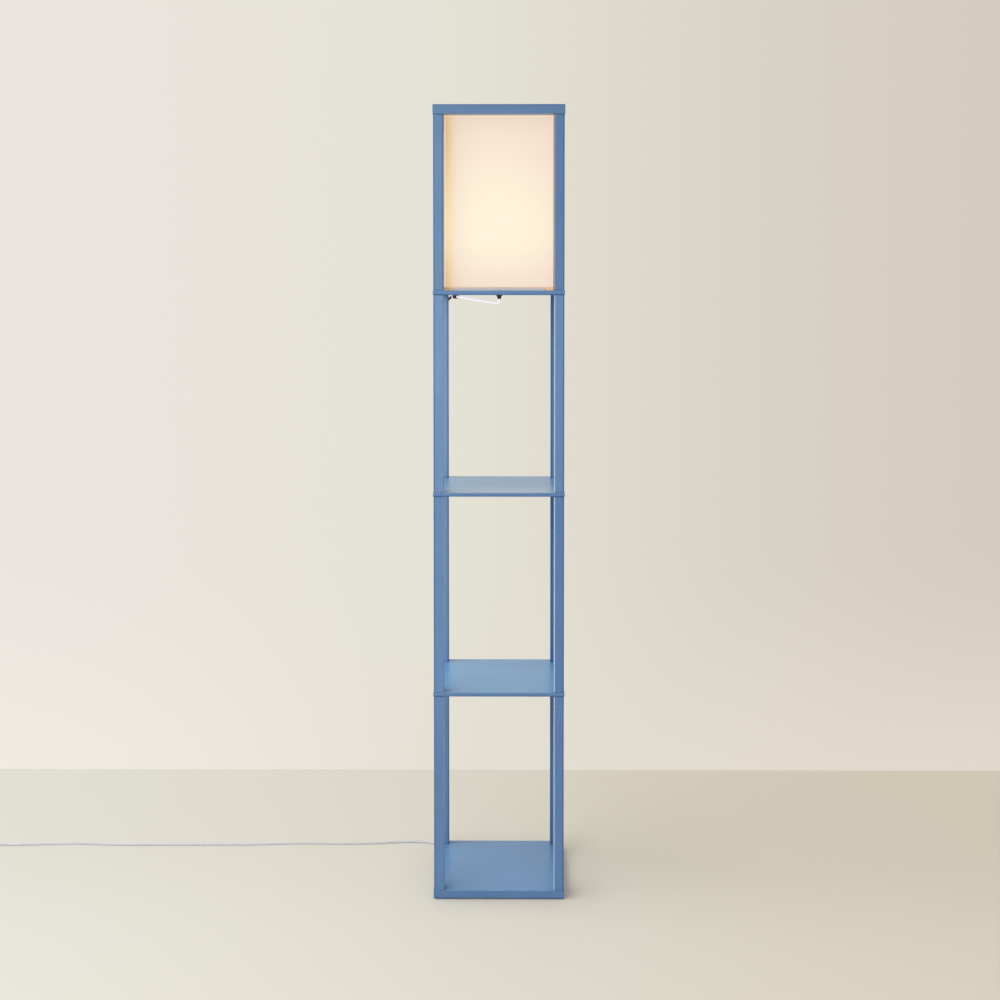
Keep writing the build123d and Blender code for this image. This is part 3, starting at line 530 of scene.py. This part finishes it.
# ---- shade: one strip of cream linen round the two wire rings, lit from inside ----
shade = {
    "thickness": 0.0009,
    "cornerRound": 0.0035,
    "cornerKeep": 0.0015,
    "cornerSteps": 5,
    "lap": 0.022,
    "lapStep": 0.00095,
    "hemGap": 0.0010,
    "hemHeight": 0.009,
    "hemFold": (0.8, 1.57, 2.35),
    "wallRows": (0.25, 0.5, 0.75),
    "ringWrap": (0, 0.52, 1.05, 1.57, 2.09, 2.62, 3.14),
    "cloth": colour(122, 117, 111),
    "thread": colour(114, 108, 100),
    "threadPitch": 0.0009,
    "slubScale": 300,
    "slubStretch": ((0.08, 0.08, 1), (1, 1, 0.05)),
    "slubSpread": (0.5, 0.75),
    "slubShare": 0.25,
    "seam": colour(120, 92, 62),
    "seamBand": (0.0035, 0.0012),
    "roughness": 0.9,
    "sheen": 0.25,
    "weaveDepth": 0.0001,
    "weaveStrength": 0.6,
    "glow": 1.0,
    "glowMiddle": (0.80, 0.70, 0.53, 1),
    "glowEdge": (0.715, 0.565, 0.452, 1),
    "glowAmber": (0.76, 0.425, 0.09, 1),
    "glowAmberMiddle": (1.10, 0.735, 0.35, 1),
    "glowLine": (1.0, 0.86, 0.62, 1),
    "glowDarkBand": (0.62, 0.36, 0.17, 1),
    "glowHeight": 1.347,
    "glowReach": 0.122,
    "glowSideways": 0.16,
    "glowStretchUp": 0.50,
    "faceDepth": 0.0015,
    "amberReach": 0.036,
    "amberReachFall": 2.4,
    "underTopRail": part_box("top_rail_front")[0].z,
    "footBand": (0.00126, 0.00234),
    "headBand": (0.0014, 0.0006),
    "farSideBand": (0.0016, 0.0008),
    "darkBandShare": 0.75,
    "endLineBand": (0.00352, 0.0022),
    "sideLineBand": (0.0033, 0.00198),
    "lineShare": 0.45,
}
panels = [f"shade_panel_{side}" for side in ("front", "right", "back", "left")]
panelLow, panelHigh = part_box("shade_panel_front")


def clothPath():
    # seen from above: from the lap's inner end at the front left corner, round the back, to its outer end
    half, step = panelHigh.x - shade["thickness"] / 2, shade["lapStep"]
    turns = [(-half + shade["lap"], -half + step), (-half, -half + step), (-half, half)]
    turns += [(half, half), (half, -half), (-half + shade["thickness"], -half)]
    turns = [Vector(turn) for turn in turns]
    reach = shade["cornerRound"] + shade["cornerKeep"]
    path, bends = [turns[0]], []
    for before, corner, after in zip(turns, turns[1:], turns[2:]):
        path.append(corner + (before - corner).normalized() * reach)
        bends.append(len(path))
        path.append(corner)
        path.append(corner + (after - corner).normalized() * reach)
    return path + [turns[-1]], bends


def clothRows():
    # how far inwards and how high each row of the cloth lies: down the inside of the lower hem, round its
    # fold, up the outside, over the top ring, and down inside it
    gap, foot = shade["hemGap"], panelLow.z + shade["thickness"] / 2
    rows = [(gap, foot + shade["hemHeight"]), (gap, foot + gap / 2)]
    for angle in shade["hemFold"]:
        rows.append((gap / 2 * (1 + math.cos(angle)), foot + gap / 2 * (1 - math.sin(angle))))
    rows += [(0, foot + gap / 2), (0, foot + gap)]
    ringLow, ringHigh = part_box("shade_top_ring")
    ringLevel, wrap = (ringLow.z + ringHigh.z) / 2, (ringHigh.z - ringLow.z + shade["thickness"]) / 2
    rows += [(0, foot + (ringLevel - foot) * share) for share in shade["wallRows"]]
    for angle in shade["ringWrap"]:
        rows.append((wrap * (1 - math.cos(angle)), ringLevel + wrap * math.sin(angle)))
    return rows + [(2 * wrap, ringLevel - shade["hemHeight"])]


def makeShadeCloth():
    path, bends = clothPath()
    rows = clothRows()
    half = panelHigh.x - shade["thickness"] / 2
    work = bmesh.new()
    points = [work.verts.new((*place, rows[0][1])) for place in path]
    for first, second in zip(points, points[1:]):
        work.edges.new((first, second))
    bmesh.ops.bevel(
        work, geom=[points[bend] for bend in bends], offset=shade["cornerRound"],
        segments=shade["cornerSteps"], profile=0.5, affect="VERTICES", material=-1
    )
    shrink = (half - rows[0][0]) / half
    bmesh.ops.scale(work, verts=work.verts[:], vec=(shrink, shrink, 1))
    edges = work.edges[:]
    for (inwards, level), (nextInwards, nextLevel) in zip(rows, rows[1:]):
        moved = bmesh.ops.extrude_edge_only(work, edges=edges)["geom"]
        verts = [part for part in moved if isinstance(part, bmesh.types.BMVert)]
        edges = [part for part in moved if isinstance(part, bmesh.types.BMEdge)]
        shrink = (half - nextInwards) / (half - inwards)
        bmesh.ops.scale(work, verts=verts, vec=(shrink, shrink, 1))
        bmesh.ops.translate(work, verts=verts, vec=(0, 0, nextLevel - level))
    bmesh.ops.recalc_face_normals(work, faces=work.faces[:])
    girth = sum((second - first).length for first, second in zip(path, path[1:]))
    length = sum(math.dist(first, second) for first, second in zip(rows, rows[1:]))
    return work, girth, length


def addPiece(name, work, body, material):
    mesh = bpy.data.meshes.new(name)
    for face in work.faces:
        face.smooth = True
    work.to_mesh(mesh)
    work.free()
    mesh.materials.append(material)
    piece = bpy.data.objects.new(name, mesh)
    scene.collection.objects.link(piece)
    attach(piece, body)
    return piece


def linen(name):
    finish = Finish(name)
    x, y, z = finish.axes()
    turn = 2 * math.pi / shade["threadPitch"]
    weave = ((x + y) * turn).sine() * (z * turn).sine()
    slubs = [finish.noise(shade["slubScale"], 2, stretch) for stretch in shade["slubStretch"]]
    levelSlubs, uprightSlubs = [slub.rise(*shade["slubSpread"]) for slub in slubs]
    cloth = finish.mix((levelSlubs + uprightSlubs) * shade["slubShare"], shade["cloth"], shade["thread"])
    panelHalf = panelHigh.x
    sideways = abs(x).least(abs(y))
    cloth = finish.mix(sideways.upTo(panelHalf, shade["seamBand"]), cloth, shade["seam"])
    # how far along its own panel a place is, from the left edge to the right as seen from outside
    onFace = panelHalf - shade["faceDepth"]
    front, back, left, right = [axis.above(onFace) for axis in (-y, y, -x, x)]
    across = x * (front - back) + y * (right - left)
    fromEdge = ((across + panelHalf) / shade["amberReach"]).least(1).most(0)
    amberShare = (1 - fromEdge) ** shade["amberReachFall"]
    # paler near the bulb, and amber towards each panel's left edge
    upwards = z - shade["glowHeight"]
    height = (upwards * shade["glowStretchUp"]).most(-upwards)
    away = (sideways * sideways * shade["glowSideways"] + height * height) ** 0.5
    warmth = away.rise(0, shade["glowReach"])
    light = finish.mix(warmth, shade["glowMiddle"], shade["glowEdge"])
    light = finish.mix(amberShare, light, finish.mix(warmth, shade["glowAmberMiddle"], shade["glowAmber"]))
    # painted light: a bright line along each panel's sides and just under the top rail, beside the dark bands
    endLine = z.upTo(shade["underTopRail"], shade["endLineBand"])
    sideLine = abs(across).upTo(panelHalf, shade["sideLineBand"])
    light = finish.mix(endLine.most(sideLine) * shade["lineShare"], light, shade["glowLine"])
    # a darker, warmer glow along the foot, just under the top rail and along each panel's right edge
    foot = (z - panelLow.z).fall(*shade["footBand"])
    head = z.upTo(shade["underTopRail"], shade["headBand"])
    farSide = across.upTo(panelHalf, shade["farSideBand"])
    light = finish.mix(foot.most(head).most(farSide) * shade["darkBandShare"], light, shade["glowDarkBand"])
    relief = weave + levelSlubs + uprightSlubs
    return finish.close({
        "Base Color": cloth,
        "Roughness": shade["roughness"],
        "Sheen Weight": shade["sheen"],
        "Emission Color": light,
        "Emission Strength": shade["glow"],
        "Normal": finish.bump(relief, shade["weaveDepth"], shade["weaveStrength"]),
    })


clothWork, clothGirth, clothLength = makeShadeCloth()
shadeCloth = addPiece("shadeCloth", clothWork, "shade", linen("shadeLinen"))
clothWall = shadeCloth.modifiers.new("clothThickness", "SOLIDIFY")
clothWall.thickness = shade["thickness"]
clothWall.offset = 0
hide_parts(*panels)
print("shade cloth:", round(clothGirth, 4), "by", round(clothLength, 4))


# ---- plain stuffs, for the pieces that are worn as they come ----
stuff = {
    "mottleScale": 60,
    "mottleSpread": (0.35, 0.7),
    "mottleShade": 0.92,
    "mottleRoughness": 0.08,
    "grainScale": 1400,
    "grainDepth": 0.00005,
    "foamDepth": 0.0002,
    "grainStrength": 0.5,
}


def plain(name, base, roughness, metallic=0, glow=(1, 1, 1, 1), glowStrength=0, depth=stuff["grainDepth"]):
    # an even stuff with a little mottling and a fine grain
    finish = Finish(name)
    mottle = finish.noise(stuff["mottleScale"], 3)
    mottled = finish.mix(mottle.rise(*stuff["mottleSpread"]), base, darker(base, stuff["mottleShade"]))
    return finish.close({
        "Base Color": mottled,
        "Metallic": metallic,
        "Roughness": roughness + mottle * stuff["mottleRoughness"],
        "Normal": finish.bump(finish.noise(stuff["grainScale"]), depth, stuff["grainStrength"]),
        "Emission Color": glow,
        "Emission Strength": glowStrength,
    })


finishNodes(plain("padFoam", colour(52, 52, 55), 0.9, depth=stuff["foamDepth"]), ["foot_pads"])
zinc = plain("zinc", colour(176, 178, 180), 0.32, metallic=1.0)
finishNodes(zinc, ["joining_studs", "base_screws", "nipple_nuts", "nipple_washer", "threaded_nipple"])
finishNodes(plain("beech", colour(196, 163, 118), 0.55), ["top_dowels"])
# painted light: the corner feet glow amber as if lit by the bulb
bulbLitFoot = plain("bulbLitFoot", colour(214, 170, 120), 0.5, glow=(0.75, 0.40, 0.15, 1), glowStrength=0.4)
finishNodes(bulbLitFoot, ["shade_rest_blocks"])
# painted light: the wire rings glow evenly, over a darker colour of their own
whiteWire = plain("whiteWire", colour(116, 118, 124), 0.45, glow=(0.37, 0.36, 0.375, 1), glowStrength=1.0)
finishNodes(whiteWire, ["shade_bottom_ring", "shade_top_ring"])
finishNodes(plain("darkPlastic", colour(36, 36, 42), 0.5), ["strain_relief", "post_cord_clips"])
clipPlastic = plain("clipPlastic", colour(60, 62, 70), 0.5)
finishNodes(clipPlastic, ["shelf_cord_clip"])
clipSleeve.data.materials.append(clipPlastic)
# painted light: the holder's plastic glows a little
holderPlastic = plain(
    "holderPlastic", colour(226, 222, 215), 0.36, glow=(0.20, 0.195, 0.19, 1), glowStrength=1.0
)
finishNodes(holderPlastic, ["holder_cap"])
finishNodes(plain("porcelain", colour(232, 229, 221), 0.15), ["holder_insert"])
brass = plain("brass", colour(214, 176, 102), 0.25, metallic=1.0)
finishNodes(brass, ["screw_shell", "centre_contact", "plug_blades"])
finishNodes(plain("wireSleeve", colour(220, 220, 216), 0.4), ["lead_wires"])
finishNodes(plain("bulbSkirt", colour(238, 236, 230), 0.35), ["bulb_collar"])
nickel = plain("nickel", colour(205, 203, 197), 0.22, metallic=1.0)
finishNodes(nickel, ["bulb_screw_cap", "bulb_tip_contact"])
finishNodes(plain("blackGlass", colour(24, 24, 26), 0.12), ["bulb_insulator"])
frosted = plain("frostedGlass", colour(188, 178, 160), 0.4, glow=(1.0, 0.84, 0.62, 1), glowStrength=0.85)


# ---- bulb and lamp holder, turned on the lamp's own axis ----
turning = {"steps": 72, "weldGap": 1e-6, "sharpFrom": math.radians(35)}
bulb = {"neckRadius": 0.0200, "arcSteps": 22, "neckSteps": 3}
holder = {
    "bore": 0.0173,
    "lipRadius": 0.01385,
    "lipThickness": 0.0030,
    "topInset": 0.0011,
    "edgeRound": 0.0008,
    "roundShare": 0.3,
    "grooves": 5,
    "grooveDepth": 0.0006,
    "groovePitch": 0.0032,
    "grooveFrom": 0.0120,
    "grooveShape": ((-1.5, 0), (-0.8, 1), (0.8, 1), (1.5, 0)),  # sixths of the pitch along, and how deep
}


def turned(name, outline, body, material, replaced):
    # outline is a row of (radius, height), from the foot up; one that starts off the axis is closed to a ring
    work = bmesh.new()
    points = [work.verts.new((radius, 0, height)) for radius, height in outline]
    nextPoints = points[1:] + points[:1] if outline[0][0] > 0 else points[1:]
    for first, second in zip(points, nextPoints):
        work.edges.new((first, second))
    bmesh.ops.spin(
        work, geom=work.verts[:] + work.edges[:], cent=(0, 0, 0), axis=(0, 0, 1), dvec=(0, 0, 0),
        angle=2 * math.pi, steps=turning["steps"], use_merge=True
    )
    bmesh.ops.remove_doubles(work, verts=work.verts[:], dist=turning["weldGap"])
    bmesh.ops.recalc_face_normals(work, faces=work.faces[:])
    piece = addPiece(name, work, body, material)
    piece.data.set_sharp_from_angle(angle=turning["sharpFrom"])
    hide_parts(replaced)
    return piece


def globeOutline():
    # straight up from the neck till it meets the ball, then round to the crown
    low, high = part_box("bulb_envelope")
    radius = high.x
    centre = high.z - radius
    neck, rise = bulb["neckRadius"], centre - low.z
    meets = math.acos(radius / math.hypot(neck, rise)) - math.atan2(rise, neck)
    belly = Vector((radius * math.cos(meets), centre + radius * math.sin(meets)))
    foot = Vector((neck, low.z))
    outline = [(0, low.z)]
    for step in range(bulb["neckSteps"]):
        outline.append(foot.lerp(belly, step / bulb["neckSteps"])[:])
    for step in range(bulb["arcSteps"]):
        angle = meets + (math.pi / 2 - meets) * step / bulb["arcSteps"]
        outline.append((radius * math.cos(angle), centre + radius * math.sin(angle)))
    return outline + [(0, high.z)]


def holderOutline():
    low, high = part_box("holder_shell")
    foot, top, inset = high.x, high.x - holder["topInset"], holder["edgeRound"]
    outline = [(holder["bore"], low.z), (foot, low.z)]
    for groove in range(holder["grooves"]):
        height = holder["grooveFrom"] + groove * holder["groovePitch"]
        radius = foot - (foot - top) * height / (high.z - low.z)
        sixth = holder["groovePitch"] / 6
        for part, depth in holder["grooveShape"]:
            outline.append((radius - depth * holder["grooveDepth"], low.z + height + part * sixth))
    inwards = inset * holder["roundShare"]
    outline += [(top, high.z - inset), (top - inwards, high.z - inwards), (top - inset, high.z)]
    lip, lipFoot = holder["lipRadius"], high.z - holder["lipThickness"]
    return outline + [(lip, high.z), (lip, lipFoot), (holder["bore"], lipFoot)]


turned("bulbGlobe", globeOutline(), "bulb", frosted, "bulb_envelope")
turned("holderShell", holderOutline(), "tower", holderPlastic, "holder_shell")
print("bulb and holder turned")


def cordSheath():
    # white, with a faint painted glow that is much stronger under the lamp shelf, where the cord hangs in
    # shade
    finish = Finish("cordSheath")
    underShelf = finish.axes()[2].rise(cord["gleamFrom"], cord["gleamTo"])
    mottle = finish.noise(cord["mottleScale"])
    return finish.close({
        "Base Color": finish.mix(mottle.rise(*cord["mottleSpread"]), cord["white"], cord["greyer"]),
        "Roughness": cord["roughness"] + mottle * cord["mottleRoughness"],
        "Emission Color": finish.mix(underShelf, cord["gleamLow"], cord["gleamHigh"]),
        "Emission Strength": cord["gleam"],
    })


powerCord.data.materials.append(cordSheath())
finishNodes(plain("plugPlastic", colour(216, 215, 219), 0.42), ["plug_body"])
finishNodes(plain("tieStrap", colour(214, 212, 208), 0.6), ["coil_tie"])
finishNodes(plain("switchShell", colour(218, 217, 221), 0.38), ["switch_base", "switch_cover"])
finishNodes(plain("rockerCap", colour(236, 235, 236), 0.3), ["switch_rocker"])
print("materials on")


# ---- floor, backdrop and light ----
# a span is two places along an axis, between which one tone turns into the next
room = {
    "reach": 9.0,
    "white": (1, 1, 1, 1),
    "floorLeft": colour(199, 197, 190),
    "floorRight": colour(216, 208, 193),
    "floorSpan": (-1.2, 1.2),
    "floorNearSpan": (-0.2, 0.35),
    "floorNearWhite": 0.07,
    "floorRoughness": 0.55,
    "floorSpecular": 0.2,
    "floorLitLeft": colour(230, 227, 215),
    "floorLitRight": colour(212, 204, 187),
    "floorLitNear": 0.08,
    "floorLitFar": 0.45,
    "floorLitSpan": (0.135, 0.25),
    "wallHigh": [colour(234, 229, 223), colour(228, 225, 213), colour(212, 204, 191)],
    "wallLow": [colour(240, 236, 227), colour(228, 223, 211), colour(226, 218, 204)],
    "wallMiddle": 0.45,
    "wallSpan": (-1.4, 1.4),
    "wallRise": (-0.1, 0.62),
    "wallY": 0.652,
    "skyColour": (0.98, 1.0, 0.99, 1),
    "skyLight": 0.51,
    "lampColour": (1.0, 0.985, 0.95),
    "lampAim": (0, 0, 0.8),
    "key": {"power": 176.0, "place": (-3.4, -0.9, 3.8), "size": 4.2},
    "fill": {"power": 20.0, "place": (-1.2, -1.9, 1.5), "size": 1.2},
}


def paleFloor():
    # seen straight, in a mirror or through glass it partly shows an even colour, less so near the lamp
    finish = Finish("paleFloor")
    x, y = finish.axes()[:2]
    along = x.rise(*room["floorSpan"])
    near = (-y).rise(*room["floorNearSpan"]) * room["floorNearWhite"]
    bodyColour, evenColour = [
        finish.mix(near, finish.mix(along, room[f"{part}Left"], room[f"{part}Right"]), room["white"])
        for part in ("floor", "floorLit")
    ]
    body = finish.add("ShaderNodeBsdfPrincipled", {}, {
        "Base Color": bodyColour,
        "Roughness": room["floorRoughness"],
        "Specular IOR Level": room["floorSpecular"],
    })
    even = finish.add("ShaderNodeEmission", {}, {"Color": evenColour, "Strength": 1.0})
    rays = [f"Is {kind} Ray" for kind in ("Camera", "Glossy", "Transmission")]
    seen, mirrored, through = [finish.add("ShaderNodeLightPath", {}, {}, ray) for ray in rays]
    away = abs(x).most(abs(y)).rise(*room["floorLitSpan"])
    share = away * (room["floorLitFar"] - room["floorLitNear"]) + room["floorLitNear"]
    share = seen.most(mirrored).most(through) * share
    surface = finish.add("ShaderNodeMixShader", {}, {0: share, 1: body, 2: even})
    finish.add("ShaderNodeOutputMaterial", {}, {"Surface": surface})
    return finish.material


def paleWall():
    # a white that glows by itself, and lets all light through from behind
    finish = Finish("paleWall")
    x, y, z = finish.axes()
    along = x.rise(*room["wallSpan"])
    rows = []
    for row in ("wallLow", "wallHigh"):
        stops = list(zip((0, room["wallMiddle"], 1), room[row]))
        rows.append(finish.add("ShaderNodeValToRGB", {"stops": stops}, {0: along}))
    wallColour = finish.mix(z.rise(*room["wallRise"]), *rows)
    light = finish.add("ShaderNodeEmission", {}, {"Color": wallColour, "Strength": 1.0})
    clear = finish.add("ShaderNodeBsdfTransparent", {}, {})
    behind = finish.add("ShaderNodeNewGeometry", {}, {}, "Backfacing")
    surface = finish.add("ShaderNodeMixShader", {}, {0: behind, 1: light, 2: clear})
    finish.add("ShaderNodeOutputMaterial", {}, {"Surface": surface})
    return finish.material


def stageSheet(name, sheetCorners, material):
    mesh = bpy.data.meshes.new(name)
    piece = bpy.data.objects.new(name, mesh)
    work = bmesh.new()
    work.faces.new([work.verts.new(corner) for corner in sheetCorners])
    work.to_mesh(mesh)
    work.free()
    mesh.materials.append(material)
    scene.collection.objects.link(piece)
    return piece


reach, wallY = room["reach"], room["wallY"]
floorCorners = [(-reach, -reach, 0), (reach, -reach, 0), (reach, reach, 0), (-reach, reach, 0)]
stageSheet("floor", floorCorners, paleFloor())
wallCorners = [(-reach, wallY, 0), (reach, wallY, 0), (reach, wallY, reach), (-reach, wallY, reach)]
wall = stageSheet("wall", wallCorners, paleWall())
wall.visible_shadow = False

world = bpy.data.worlds.new("studio")
scene.world = world
world.use_nodes = True
sky = world.node_tree.nodes["Background"].inputs
sky["Color"].default_value = room["skyColour"]
sky["Strength"].default_value = room["skyLight"]

for lampName in ("key", "fill"):
    settings = room[lampName]
    lamp = bpy.data.objects.new(f"{lampName}Light", bpy.data.lights.new(f"{lampName}Light", "AREA"))
    lamp.data.energy = settings["power"]
    lamp.data.size = settings["size"]
    lamp.data.color = room["lampColour"]
    lamp.location = settings["place"]
    lamp.rotation_euler = (Vector(room["lampAim"]) - lamp.location).to_track_quat("-Z", "Y").to_euler()
    scene.collection.objects.link(lamp)
print("stage lit")
